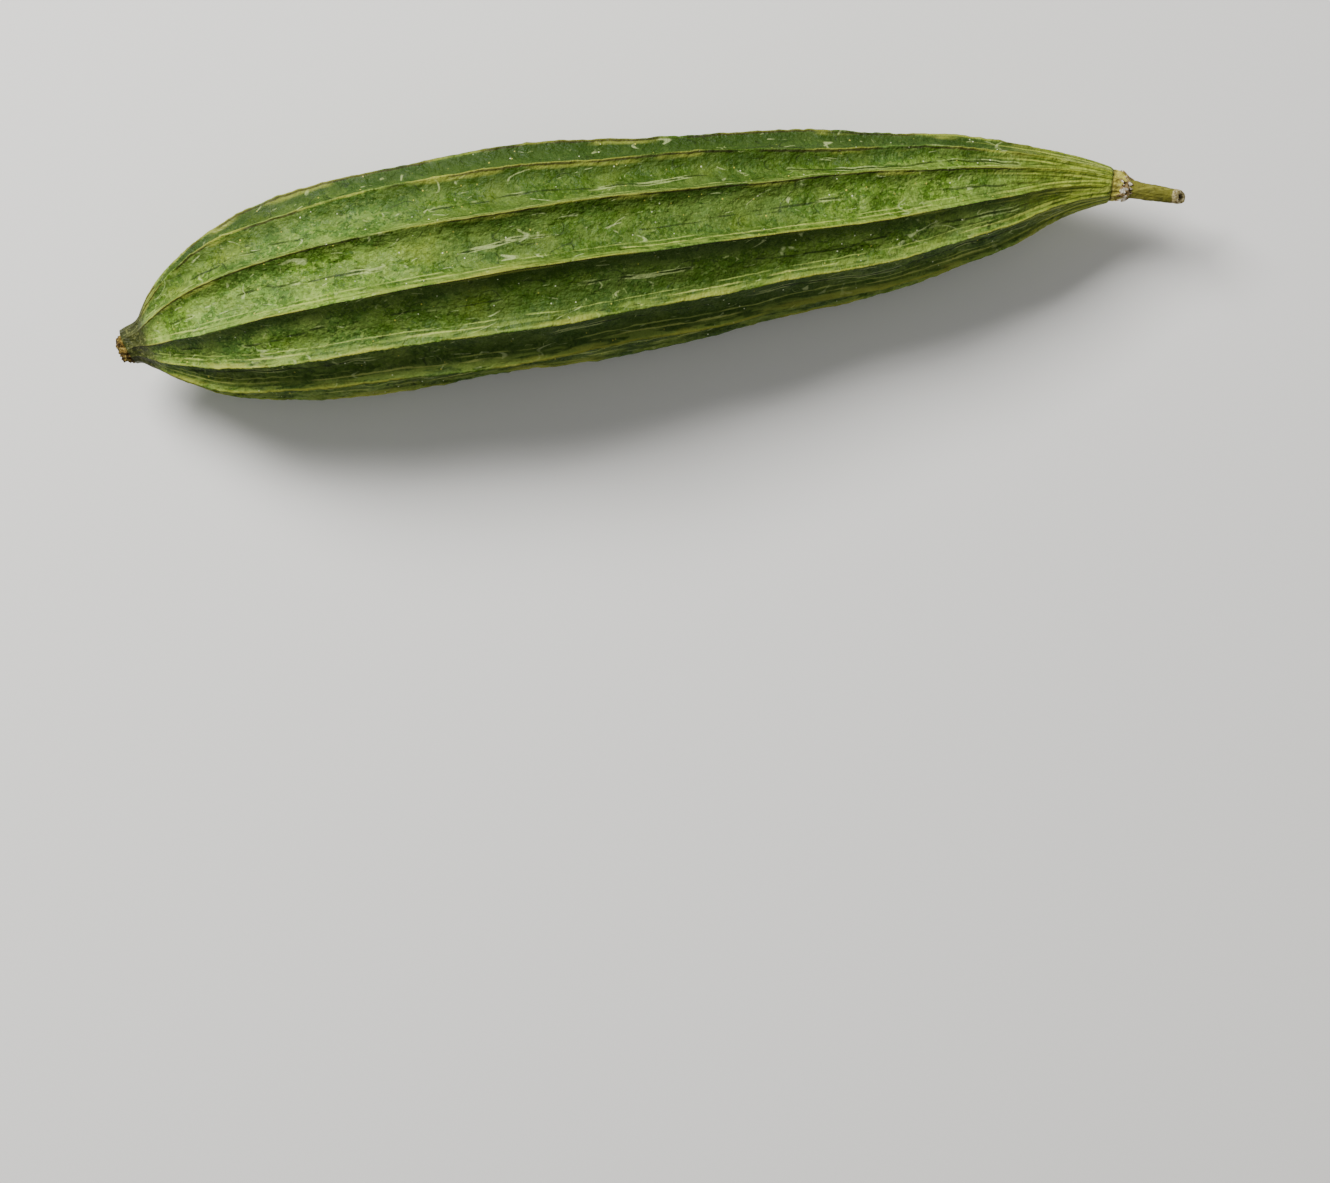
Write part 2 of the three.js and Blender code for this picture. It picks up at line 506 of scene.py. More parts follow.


# Living rind under a thin wax bloom, leathery and rough to the touch. It gives yellowish greens
# mottled at several sizes, flaky pale tiles, crisp scuffs and pores, pale specks that are partly
# painted glints, a dark brown line under each crest that is also painted shade there, a pale lip
# above it that is partly painted light, painted shade on the flank below each crest, in some
# channels and over the middle of the body, fine veins down the channels, long fibres where the
# ridges meet the stalk, a dark dry neck around the flower scar, and a nearly matt skin. Real pores
# and fibres are finer than these, which are as coarse as they need to be to show.
WAXY_RIND = PlantFinish(
    name="waxy_gourd_rind",
    base="58781F",
    coats=(
        Coat("3E5D12", 0.48, (Blotch(10.0, (0.50, 0.64), stretch=1.8),)),
        Coat("75952F", 0.45, (Blotch(8.0, (0.50, 0.66), stretch=1.6),)),
        Coat("8A9626", 0.45, (Blotch(11.0, (0.55, 0.67)),)),
        Coat("5A7C42", 0.36, (Blotch(13.0, (0.47, 0.62), stretch=1.6),)),
        Coat("334E0B", 0.42, (Blotch(1.6, (0.51, 0.58), detail=4.0),)),
        Coat("8CA646", 0.40, (Blotch(1.3, (0.54, 0.61), stretch=1.4, detail=4.0),)),
        Coat("283E0A", 0.54, (Blotch(0.62, (0.52, 0.60), detail=1.0),)),
        Coat("9AB055", 0.44, (Blotch(0.68, (0.57, 0.64), detail=1.0),)),
        Coat("9AB252", 0.26, (Blotch(2.6, (0.70, 0.705), stretch=1.4, pattern=Pattern.TILES, ragged=0.8),)),
        Coat("9FB654", 0.20, (Blotch(4.2, (0.86, 0.865), stretch=1.5, pattern=Pattern.TILES, ragged=1.3),)),
        Coat("314C0E", 0.28, (Blotch(2.8, (0.72, 0.725), stretch=1.5, pattern=Pattern.TILES, ragged=0.9),)),
        Coat("304A0D", 0.18, (Blotch(5.0, (0.80, 0.805), stretch=1.6, pattern=Pattern.TILES, ragged=1.5),)),
        # Painted shade: each channel is darkened by its ridge's share of painted shade.
        Coat("22390A", 0.70, (Band(Measure.PAINTED_SHADE, (0.0, 1.0)),)),
        # Painted shade over the middle of the body: full from station 74 to 118, gone at 44 and 152.
        Coat("294109", 0.54, (Band(Measure.STATION, (44.0, 74.0)), Band(Measure.STATION, (152.0, 118.0)))),
        # Painted shade on the flank below each crest, the side turned away from the key lamp.
        Coat("263C09", 0.50, (Band(Measure.CREST, (2.4, 0.6), waver=0.3), Band(Measure.SIDE, (0.05, 0.5)))),
        Coat("1D2C06", 0.78, (Band(Measure.VEIN, (0.30, 0.12), waver=0.04, waver_size=4.0),
                              Blotch(22.0, (0.36, 0.44), stretch=2.0))),
        Coat("B4C27A", 0.50, (Band(Measure.VEIN, (0.50, 0.36), waver=0.08, waver_size=3.0),
                              Band(Measure.VEIN, (0.18, 0.28)), Blotch(5.0, (0.52, 0.60), stretch=2.0))),
        Coat("B7C582", 0.46, (Blotch(7.0, (0.009, 0.003), detail=1.0, pattern=Pattern.THREADS, stretch=2.4),
                              Blotch(3.0, (0.55, 0.63)))),
        Coat("BCC888", 0.50, (Blotch(4.5, (0.011, 0.004), detail=0.0, pattern=Pattern.THREADS, stretch=4.0),
                              Blotch(3.0, (0.56, 0.64)))),
        Coat("AEBC74", 0.42, (Blotch(4.0, (0.011, 0.004), detail=1.0, pattern=Pattern.THREADS),
                              Blotch(2.2, (0.60, 0.68)))),
        Coat("1C2B06", 0.60, (Blotch(6.0, (0.010, 0.004), detail=1.0, pattern=Pattern.THREADS, stretch=1.8),
                              Blotch(3.6, (0.51, 0.57)))),
        # Pale specks: partly the skin's own specks, partly painted glints on the wax.
        Coat("D9DFB4", 0.85, (Blotch(2.0, (0.085, 0.055), pattern=Pattern.DOTS),
                              Blotch(7.0, (0.44, 0.54)))),
        Coat("B4B046", 0.90, (Blotch(1.9, (0.105, 0.065), pattern=Pattern.DOTS),
                              Blotch(9.0, (0.46, 0.56)))),
        # Pale lip above each crest: partly the crest's own pale tissue, partly painted light on the side
        # turned to the key lamp.
        Coat("93A748", 0.42, (Band(Measure.CREST, (1.5, 0.5), waver=0.35),
                              Band(Measure.SIDE, (-0.02, -0.22)),
                              Blotch(0.9, (0.44, 0.56), stretch=8.0))),
        *(Coat(colour, 0.60, (Band(Measure.CREST, (place + 0.12, place + 0.03), waver=0.14),
                              Band(Measure.CREST, (place - 0.12, place - 0.03)),
                              Band(Measure.SIDE, (-0.1, -0.3)), Blotch(6.0, (0.45, 0.53), stretch=2.5)))
          for place, colour in ((0.62, "324A10"), (0.95, "B6BF62"), (1.25, "344D10"), (1.60, "A5B55A"))),
        Coat("9FA542", 0.50, (Band(Measure.CREST, (0.75, 0.35), waver=0.12),
                              Blotch(6.0, (0.52, 0.62), stretch=3.0))),
        Coat("989C3A", 0.62, (Band(Measure.CREST, (0.26, 0.14), waver=0.04, waver_size=2.0),
                              Blotch(8.0, (0.44, 0.54), stretch=2.5))),
        # Dark brown line on each crest's edge: a real brown line, kept to the side below the crest, where it
        # is also painted shade under the crest.
        Coat("221B08", 0.82, (Band(Measure.CREST, (0.35, 0.20), waver=0.06, waver_size=2.0),
                              Band(Measure.SIDE, (0.0, 0.14)), Blotch(9.0, (0.40, 0.49), stretch=2.0),
                              Band(Measure.STATION, (184.0, 170.0)))),
        Coat("829028", 0.72, (Band(Measure.STATION, (164.0, 182.0), waver=3.0, waver_size=4.0),)),
        Coat("32460D", 0.44, (Band(Measure.STATION, (162.0, 180.0)),
                              Blotch(0.9, (0.54, 0.58), stretch=16.0))),
        Coat("ACB552", 0.46, (Band(Measure.STATION, (164.0, 182.0)),
                              Blotch(0.8, (0.55, 0.59), stretch=14.0))),
        Coat("282B0D", 0.94, (Band(Measure.STATION, (9.5, 4.8), waver=0.7, waver_size=2.0),)),
        Coat("4C5026", 0.55, (Band(Measure.STATION, (8.0, 5.0)), Blotch(1.0, (0.50, 0.62), stretch=2.0))),
        Coat("7C7F48", 0.42, (Band(Measure.STATION, (9.5, 6.0)), Blotch(0.5, (0.55, 0.61)))),
        *(Coat(colour, 0.72, (Band(Measure.CREST, (place + 0.18, place + 0.05), waver=0.10, waver_size=5.0),
                              Band(Measure.CREST, (place - 0.18, place - 0.05)),
                              Band(Measure.STATION, (158.0, 176.0)), Blotch(3.0, (0.38, 0.46), stretch=3.0)))
          for place, colour in ((0.45, "33470E"), (0.80, "A8B24C"), (1.15, "33470E"), (1.60, "3A4E12"))),
    ),
    reliefs=(
        Relief(0.15, (Blotch(2.4, (0.35, 0.65), detail=3.0),)),
        Relief(0.10, (Blotch(0.9, (0.35, 0.65), stretch=1.4),)),
        Relief(0.04, (Blotch(0.45, (0.35, 0.65), detail=1.0),)),
        Relief(0.07, (Blotch(2.6, (0.66, 0.70), stretch=1.5, pattern=Pattern.TILES, ragged=1.0),)),
        Relief(0.05, (Blotch(2.2, (0.13, 0.04), pattern=Pattern.DOTS),)),
    ),
    roughness=(0.43, 0.63),
    specular=0.16,
)

# Fresh cut stalk: a fibrous olive skin, with a straw-coloured collar and a dry, pale cut.
STALK_RIND = PlantFinish(
    name="fibrous_stalk_rind",
    base="6F6D24",
    coats=(
        Coat("474813", 0.60, (Blotch(1.6, (0.50, 0.64), stretch=5.0),)),
        Coat("8E8B3C", 0.55, (Blotch(0.8, (0.52, 0.66), stretch=6.0),)),
        Coat("393810", 0.50, (Blotch(0.4, (0.54, 0.66), stretch=3.0),)),
        Coat("BEB650", 0.92, (Band(Measure.STATION, (189.9, 188.9), waver=0.2, waver_size=1.2),)),
        Coat("5F541C", 0.75, (Band(Measure.STATION, (189.9, 188.9)),
                              Blotch(0.8, (0.50, 0.60), stretch=3.5))),
        Coat("CBC47A", 0.65, (Band(Measure.STATION, (189.9, 188.9)),
                              Blotch(0.7, (0.53, 0.64), stretch=2.0))),
        Coat("3C3A0E", 0.80, (Band(Measure.STATION, (186.9, 186.4), waver=0.15, waver_size=1.0),)),
        Coat("A99A68", 0.85, (Band(Measure.STATION, (197.2, 197.9), waver=0.45, waver_size=0.9),)),
        Coat("5F4824", 0.80, (Band(Measure.STATION, (196.6, 197.8)), Blotch(0.7, (0.50, 0.58)))),
        Coat("D8CDA4", 0.80, (Band(Measure.STATION, (197.2, 198.2)), Blotch(0.6, (0.55, 0.61)))),
        Coat("33260F", 0.88, (Band(Measure.RADIUS, (0.66, 0.38), waver=0.1, waver_size=0.6),)),
    ),
    reliefs=(
        Relief(0.10, (Blotch(0.7, (0.3, 0.7), stretch=5.0),)),
        Relief(0.04, (Blotch(0.3, (0.3, 0.7)),)),
    ),
    roughness=(0.50, 0.66),
)

# Dead, dried and cracked tissue: brown hollows between bleached lumps, with no gloss.
CORKY_CRUST = PlantFinish(
    name="corky_collar_crust",
    base="8A744A",
    coats=(
        Coat("33240E", 0.90, (Blotch(0.9, (0.51, 0.57)),)),
        Coat("F0E6CE", 0.95, (Blotch(1.0, (0.51, 0.55)),)),
        Coat("A48F62", 0.60, (Blotch(0.4, (0.52, 0.62)),)),
    ),
    reliefs=(Relief(0.12, (Blotch(0.6, (0.3, 0.7)),)), Relief(0.06, (Blotch(0.3, (0.3, 0.7)),))),
    roughness=(0.60, 0.85),
)

# Dead flower base, shrivelled to hard golden-brown lumps with dark creases and a pit.
DRIED_SCAR = PlantFinish(
    name="dried_flower_scar",
    base="6A5622",
    coats=(
        Coat("2A1D08", 0.88, (Blotch(1.0, (0.50, 0.56)),)),
        Coat("A8924A", 0.70, (Blotch(0.9, (0.56, 0.61)),)),
        Coat("3E300F", 0.60, (Blotch(0.4, (0.52, 0.62)),)),
        Coat("1F1606", 0.88, (Band(Measure.RADIUS, (0.75, 0.40), waver=0.1, waver_size=0.6),)),
    ),
    reliefs=(Relief(0.16, (Blotch(0.8, (0.3, 0.7)),)), Relief(0.05, (Blotch(0.3, (0.3, 0.7)),))),
    roughness=(0.50, 0.70),
)


# ---------------------------------------------------------------- the gourd's pieces


@dataclass(frozen=True)
class Ridge:
    """One ridge and the channel between it and the next one.

    Attributes:
        bearing: Bearing from straight up towards -Y, in degrees.
        drift: How far the ridge strays from it at four stations, in degrees.
        shade: How much painted shade darkens the channel, from 0 to 1.
    """

    bearing: float
    drift: tuple[float, float, float, float]
    shade: float


@dataclass(frozen=True)
class Fruit:
    """The ribbed fruit, from its blossom neck to its stem neck, in mm.

    Most crest radii, and some drifts of the ridges that the photo shows, are rounded results of a
    least-squares fit to its outline and crests.
    """

    line: CentreLine
    # The last number of each ridge is the painted shade of the channel after it.
    ridges: tuple[Ridge, ...] = (
        Ridge(10, (2, -1, 0, -2), 0.50),
        Ridge(40, (1, 1, 2, 0), 0.64),
        Ridge(69, (-3, -2, 4, 3), 0.45),
        Ridge(100, (-1, 1, 0, 2), 0.05),
        Ridge(132, (2, 0, -1, -3), 0.00),
        Ridge(164, (-2, 0, 0, 2), 0.05),
        Ridge(196, (2, 0, 0, -2), 0.10),
        Ridge(226, (-1, 0, 2, 3), 0.20),
        Ridge(254, (0, 0, 1, 3), 0.35),
        Ridge(282, (0, 0, 0, 2), 0.92),
        Ridge(310, (-1, 1, 1, 6), 0.36),
        Ridge(338, (0, 1, -3, 0), 0.00),
    )
    drift_stations: tuple[float, ...] = (12, 75, 142, 178)
    crest_radius: SmoothCurve = SmoothCurve((
        (2.3, 3.5), (4.5, 4.2), (9, 8.5), (17, 14.0), (26, 17.3), (38, 19.4), (56, 20.7), (78, 20.9),
        (100, 19.5), (119, 17.4), (140, 15.3), (158, 12.1), (168, 9.3), (174, 7.2), (180, 5.2),
        (187, 3.1),
    ))
    channel_depth: SmoothCurve = SmoothCurve((
        (2, 0.03), (6, 0.08), (14, 0.125), (24, 0.135), (120, 0.135), (160, 0.12), (178, 0.075),
        (187, 0.045),
    ))
    channel_power: float = 3.0
    # A slow wave along each crest, which moves by its phase, in radians, from ridge to ridge.
    wave_height: float = 0.25
    wave_length: float = 46.0
    wave_phase: float = 2.4
    # Both ends are hidden in their neighbours, and a share of the stem end's radius is tucked in.
    start: float = 2.0
    end: float = 186.4
    cad_ends: tuple[float, float] = (2.3, 186.2)
    tuck: float = 0.08
    tuck_length: float = 0.5
    # Rings crowd towards both ends and the points of a channel towards its crests, from 0 to 1.
    sections: int = 298
    columns: int = 27
    end_crowding: float = 0.35
    crest_crowding: float = 0.6
    # Where relief grows from none to all of it: stations at each end, and distances from a crest.
    blossom_fade: tuple[float, float] = (3.0, 14.0)
    stem_fade: tuple[float, float] = (186.0, 172.0)
    flank_edge: tuple[float, float] = (0.2, 2.0)
    # How the crests stray sideways, less so below a least radius, and the veins, as a share of
    # the channel.
    crest_sway: tuple[Lumps, ...] = (Lumps(0.05, (14,)), Lumps(0.015, (4,)))
    sway_radius: float = 6.0
    vein_sway: tuple[Lumps, ...] = (Lumps(0.05, (30,)), Lumps(0.012, (6,)))
    # Swells, dents, pebbly pits, and wrinkles in patches that grow between two values of a noise.
    swell: Lumps = Lumps(0.20, (26, 18))
    dent: Lumps = Lumps(0.10, (8, 5))
    small_dent: Lumps = Lumps(0.06, (3.4, 2.6))
    pebble: Lumps = Lumps(0.05, (2.4, 1.9))
    wrinkled_patch: Lumps = Lumps(1.0, (14, 9))
    patch_edge: tuple[float, float] = (-0.3, 1.2)
    wrinkle: Lumps = Lumps(0.03, (1.8, 5))
    # The nicked lip on each crest, between two limits, and the thickening that it stands on.
    lip_height: float = 0.12
    lip_limits: tuple[float, float] = (0.0, 0.3)
    lip_width: float = 0.30
    nicks: tuple[Lumps, ...] = (Lumps(0.05, (5,)), Lumps(0.04, (1.7,)))
    crest_foot: Bead = Bead(0.08, 1.1)
    # The groove of each vein and the bank that it runs in, broken off where a noise is low.
    vein_break: Lumps = Lumps(1.0, (22,))
    break_edge: tuple[float, float] = (-1.8, -0.6)
    vein_bank: Bead = Bead(0.08, 1.1)
    vein_groove: Bead = Bead(-0.15, 0.35)
    # Distance from a crest, in mm, within which a channel's painted shade grows from none to full.
    painted_shade_edge: float = 0.4
    seed: int = 11

    def crests(self, stations: Array) -> tuple[Array, Array]:
        """Bearing and radius of every crest, the first one repeated after a full turn.

        A crest's bearing is its own bearing plus a drift that changes smoothly along the fruit.
        Its radius is the common profile plus a slow sine wave of its own.

        Args:
            stations: Stations in mm.

        Returns:
            Bearings in radians and radii in mm, both shaped stations by ridges plus one.
        """
        drifts = [SmoothCurve(tuple(zip(self.drift_stations, ridge.drift))) for ridge in self.ridges]
        strayed = [ridge.bearing + drift.at(stations) for ridge, drift in zip(self.ridges, drifts)]
        bearings = np.stack(strayed, axis=1)
        common = self.crest_radius.at(stations)[:, None]
        phase = self.wave_phase * np.arange(len(self.ridges))
        wave = np.sin(FULL_TURN * stations[:, None] / self.wave_length + phase)
        radii = common * (1 + self.wave_height * wave / self.widest)
        bearings = np.concatenate([bearings, bearings[:, :1] + 360], axis=1)
        return np.radians(bearings), np.concatenate([radii, radii[:, :1]], axis=1)

    @property
    def widest(self) -> float:
        """Largest crest radius, in mm."""
        return max(value for _, value in self.crest_radius.knots)

    def plain_rings(self) -> Array:
        """Sections through the crests alone, with no relief, for placing the fruit in its CAD box."""
        stations = np.linspace(*self.cad_ends, self.sections)
        bearings, radii = self.crests(stations)
        return self.line.sections(stations, bearings, radii)

    def build(self) -> bpy.types.Object:
        """Builds the fruit's skin.

        Across a channel, from one crest (u = 0) to the next (u = 1), the radius is the crest
        radius times one minus the depth times one minus the size of 2u - 1 to a power, which
        gives sharp crests and a hollow between them. Columns crowd towards the crests. Relief is
        added to the radius: broad swells, dents, pebbly pits, wrinkles, a nicked lip on each
        crest and a fine vein down each channel. Points below the floor are pressed up to it.

        Returns:
            The piece.
        """
        rng = np.random.default_rng(self.seed)
        t = np.linspace(0, 1, self.sections)
        crowded = t - self.end_crowding * np.sin(FULL_TURN * t) / FULL_TURN
        stations = mix(self.start, self.end, crowded)
        length = self.end - self.start
        count = len(self.ridges)
        s = np.tile(np.arange(self.columns) / self.columns, count)
        u = s - self.crest_crowding * np.sin(FULL_TURN * s) / FULL_TURN
        ridge = np.repeat(np.arange(count), self.columns)

        def lines(*kinds: Lumps) -> Array:
            """Sum of the kinds, each a noise along every ridge, with the first ridge repeated last."""
            made = 0.0
            for kind in kinds:
                each = [kind.relief(rng, (self.sections,), (length,)) for _ in range(count)]
                made = made + np.stack(each, axis=1)
            return np.concatenate([made, made[:, :1]], axis=1)

        bearings, radii = self.crests(stations)
        common = self.crest_radius.at(stations)[:, None]
        body = (step(stations, *self.blossom_fade) * step(stations, *self.stem_fade))[:, None]
        bearings = bearings + body * lines(*self.crest_sway) / np.maximum(common, self.sway_radius)
        gap = bearings[:, ridge + 1] - bearings[:, ridge]
        bearing = bearings[:, ridge] + gap * u
        crest = mix(radii[:, ridge], radii[:, ridge + 1], u)
        hollow = self.channel_depth.at(stations)[:, None] * (1 - np.abs(2 * u - 1) ** self.channel_power)
        radius = crest * (1 - hollow)
        crest_mm = np.minimum(u, 1 - u) * gap * radius
        side_mm = np.sin(FULL_TURN * u) / FULL_TURN * gap * radius
        wander = lines(*self.vein_sway)[:, ridge]
        vein_mm = np.abs(u - 0.5 - wander) * gap * radius

        grid, spans = radius.shape, (length, FULL_TURN * MEAN_TO_WIDEST * self.widest)
        flank = step(crest_mm, *self.flank_edge)
        swell = self.swell.relief(rng, grid, spans)
        dents = self.dent.relief(rng, grid, spans) + self.small_dent.relief(rng, grid, spans)
        pebbles = -np.abs(self.pebble.relief(rng, grid, spans))
        wrinkled = step(self.wrinkled_patch.relief(rng, grid, spans), *self.patch_edge)
        wrinkles = wrinkled * self.wrinkle.relief(rng, grid, spans)
        nearest = np.where(u < 0.5, ridge, ridge + 1)
        lip_height = np.clip(self.lip_height + lines(*self.nicks), *self.lip_limits)[:, nearest]
        lip = lip_height * bell(crest_mm, self.lip_width) + self.crest_foot.relief(crest_mm)
        vein_shown = step(lines(self.vein_break), *self.break_edge)[:, ridge]
        vein = vein_shown * (self.vein_bank.relief(vein_mm) + self.vein_groove.relief(vein_mm))
        radius = radius + body * (swell + flank * (dents + pebbles + wrinkles) + lip + vein)

        tuck = 1 - self.tuck * step(stations, self.end - self.tuck_length, self.end)[:, None]
        rings = self.line.sections(stations, bearing, radius * tuck)
        rings[..., 2] = np.maximum(rings[..., 2], 0)
        painted_shades = np.array([each.shade for each in self.ridges])
        measures = {
            Measure.CREST: crest_mm,
            Measure.SIDE: side_mm,
            Measure.VEIN: vein_mm + OUT_OF_REACH * (1 - vein_shown * body),
            Measure.STATION: np.broadcast_to(stations[:, None], grid),
            # Painted shade of each channel, none right on its crests and fading out at both ends.
            Measure.PAINTED_SHADE: painted_shades[ridge] * step(crest_mm, 0.0, self.painted_shade_edge) * body,
        }
        return skin_mesh("fruit_skin", rings, measures)


@dataclass(frozen=True)
class Stem:
    """The stalk, with its swollen, angular collar and the dried crust on that, in mm."""

    line: CentreLine
    radius: SmoothCurve = SmoothCurve((
        (185.8, 2.5), (186.3, 2.85), (186.8, 2.92), (187.4, 2.72), (188.0, 2.5), (188.8, 2.15),
        (189.4, 1.85), (189.9, 1.66), (191.0, 1.6), (195.0, 1.47), (197.4, 1.34), (198.2, 1.33),
        (198.7, 1.16),
    ))
    start: float = 185.8
    end: float = 198.7
    sections: int = 120
    face_sections: int = 14
    around: int = 96
    girth: float = 12.0
    collar_edge: tuple[float, float] = (190.0, 188.6)
    # Corners and ribs, as shares of the radius on the stalk and on the collar, and their turns.
    corners: int = 5
    corner_share: tuple[float, float] = (0.025, 0.055)
    corner_turn: float = 0.6
    ribs_to_corners: int = 3
    rib_share: tuple[float, float] = (0.014, 0.030)
    rib_sway: Lumps = Lumps(0.8, (9, 30))
    rough: tuple[Lumps, ...] = (Lumps(0.02, (2.2, 1.2)), Lumps(0.012, (0.8, 0.7)))
    # The cut face: a rim, a hollow, its torn fibres and its lean in degrees.
    rim: float = 0.15
    hollow: float = 0.60
    hollow_edge: tuple[float, float] = (0.25, 0.85)
    torn: Lumps = Lumps(0.09, (1.0, 1.0))
    cut_angle: float = 38.0
    lean_length: float = 2.2
    # The crust, a torus that is drawn out along the axis and leans in by its slope.
    crust_radius: float = 1.9
    crust_thickness: float = 0.46
    crust_station: float = 189.0
    crust_stretch: float = 2.5
    crust_slope: float = 0.50
    crust_around: int = 160
    crust_turns: int = 48
    crust_left: float = 0.85
    crust_losses: tuple[Lumps, ...] = (Lumps(0.22, (3.0,)), Lumps(0.12, (1.1,)))
    crust_limits: tuple[float, float] = (0.4, 1.3)
    crust_lumps: tuple[Lumps, ...] = (Lumps(0.26, (0.9, 0.9)), Lumps(0.14, (0.5, 0.5)))
    crust_sway: Lumps = Lumps(0.08, (4.0,))
    seed: int = 23

    def build(self) -> bpy.types.Object:
        """Builds the collar, stalk and cut face.

        The radius is the profile times one plus a cosine of five times the bearing, for the five
        corners, plus a finer cosine for the ribs and noise. The cut face's rings shrink to the
        axis, with a raised rim, a hollow and noise along the axis. The stalk's last part leans
        over to the angle of the cut, which faces along the stalk and up.

        Returns:
            The piece.
        """
        rng = np.random.default_rng(self.seed)
        side = np.linspace(self.start, self.end, self.sections)
        stations = np.concatenate([side, np.full(self.face_sections, self.end)])
        closing = np.cos(np.linspace(0.2, 0.5 * math.pi - 0.05, self.face_sections))
        shrink = np.concatenate([np.ones(self.sections), closing])[:, None]
        around = FULL_TURN * np.arange(self.around) / self.around
        bearing = np.broadcast_to(around, (len(stations), self.around))
        collar = step(stations, *self.collar_edge)[:, None]
        grid, spans = bearing.shape, (self.end - self.start, self.girth)
        corner = mix(*self.corner_share, collar) * np.cos(self.corners * bearing + self.corner_turn)
        sway = self.rib_sway.relief(rng, grid, spans)
        ribs = mix(*self.rib_share, collar) * np.cos(self.ribs_to_corners * self.corners * bearing + sway)
        rough = sum(kind.relief(rng, grid, spans) for kind in self.rough)
        radius = self.radius.at(stations)[:, None] * (1 + corner + ribs + rough) * shrink
        inward = 1 - shrink
        dished = self.rim * np.sin(math.pi * inward) - self.hollow * step(inward, *self.hollow_edge)
        lean = math.tan(math.radians(self.cut_angle)) * step(stations, self.end - self.lean_length, self.end)
        torn = np.sqrt(inward) * self.torn.relief(rng, grid, spans)
        ahead = dished + torn - lean[:, None] * radius * np.cos(bearing)
        rings = self.line.sections(stations, bearing, radius, ahead)
        far = np.where(stations < self.end, OUT_OF_REACH, radius.mean(axis=1))
        measures = {
            Measure.STATION: np.broadcast_to(stations[:, None], grid),
            Measure.RADIUS: np.broadcast_to(far[:, None], grid),
        }
        return skin_mesh("stem_stalk", rings, measures)

    def build_crust(self) -> bpy.types.Object:
        """Builds the broken, corky ring where the collar ends.

        It is a torus around the axis, drawn out along the axis and leaning in with the collar's
        taper. Its own section's radius is scaled by noise, and an uneven share of it is lost
        around the ring, so that it stands in lumps with gaps between them.

        Returns:
            The piece.
        """
        rng = np.random.default_rng(self.seed + 1)
        grid = self.crust_turns, self.crust_around
        spans = FULL_TURN * self.crust_thickness, FULL_TURN * self.crust_radius
        turn = FULL_TURN * np.arange(self.crust_turns)[:, None] / self.crust_turns
        losses = [kind.relief(rng, grid[1:], spans[1:]) for kind in self.crust_losses]
        left = np.clip(self.crust_left + sum(losses), *self.crust_limits)
        lumps = 1 + sum(kind.relief(rng, grid, spans) for kind in self.crust_lumps)
        thick = self.crust_thickness * left * lumps
        ahead = -self.crust_stretch * thick * np.sin(turn)
        centre = self.crust_radius + self.crust_sway.relief(rng, grid[1:], spans[1:])
        radius = centre + thick * np.cos(turn) - self.crust_slope * ahead
        bearing = np.broadcast_to(FULL_TURN * np.arange(self.crust_around) / self.crust_around, grid)
        stations = np.full(self.crust_turns, self.crust_station)
        rings = self.line.sections(stations, bearing, radius, ahead)
        return skin_mesh("stem_collar_crust", rings, {}, capped=False)


@dataclass(frozen=True)
class BlossomScar:
    """The dried remnant of the flower, a crinkled button with a raised rim and a pit, in mm."""

    line: CentreLine
    radius: float = 2.55
    thickness: float = 2.1
    start: float = 0.15
    # Powers of the cosine and sine: below one, they make the button's edge squarer.
    bulge: float = 0.8
    relief_bulge: float = 0.3
    rim: Bead = Bead(0.22, 0.28, 1.65)
    groove: Bead = Bead(-0.2, 0.22, 1.2)
    pit: Bead = Bead(-0.55, 0.45)
    folds: int = 11
    fold_sway: Lumps = Lumps(1.6, (6.0, 5.0))
    fold_share: float = 0.08
    fold_height: float = 0.08
    # Roughness, as shares of the radius, and the height of its first kind on the face.
    rough: tuple[Lumps, ...] = (Lumps(0.049, (1.4, 1.2)), Lumps(0.028, (0.6, 0.6)))
    rough_height: float = 0.10
    profile_length: float = 4.0
    rings: int = 70
    around: int = 132
    seed: int = 31

    def build(self) -> bpy.types.Object:
        """Builds the scar.

        Its half section is a superellipse turned about the axis. The face has a rim, a groove
        inside it and a pit, each a bell of the distance from the axis, and folds that follow a
        cosine of the bearing and fade towards the middle.

        Returns:
            The piece.
        """
        rng = np.random.default_rng(self.seed)
        t = np.linspace(0.03, 0.5 * math.pi, self.rings)[:, None]
        around = FULL_TURN * np.arange(self.around) / self.around
        bearing = np.broadcast_to(around, (self.rings, self.around))
        grid, spans = bearing.shape, (self.profile_length, FULL_TURN * self.radius)
        out = np.sin(t) ** self.bulge
        fold = np.cos(self.folds * bearing + self.fold_sway.relief(rng, grid, spans))
        rough = sum(kind.relief(rng, grid, spans) for kind in self.rough)
        radius = self.radius * out * (1 + (self.fold_share * fold + rough) * out)
        far = self.radius * out
        relief = self.rim.relief(far) + self.groove.relief(far) + self.pit.relief(far)
        relief = relief + self.fold_height * fold * np.sqrt(out)
        relief = relief + self.rough_height / self.rough[0].height * rough * out
        ahead = self.thickness * (1 - np.cos(t) ** self.bulge) - relief * np.cos(t) ** self.relief_bulge
        rings = self.line.sections(np.full(self.rings, self.start), bearing, radius, ahead)
        return skin_mesh("blossom_scar_button", rings, {Measure.RADIUS: np.broadcast_to(far, grid)})


# ---------------------------------------------------------------- studio


@dataclass(frozen=True)
class Lamp:
    """A square soft light: its name, its place and side in metres, and its power in watts."""

    name: str
    place: tuple[float, float, float]
    side: float
    power: float


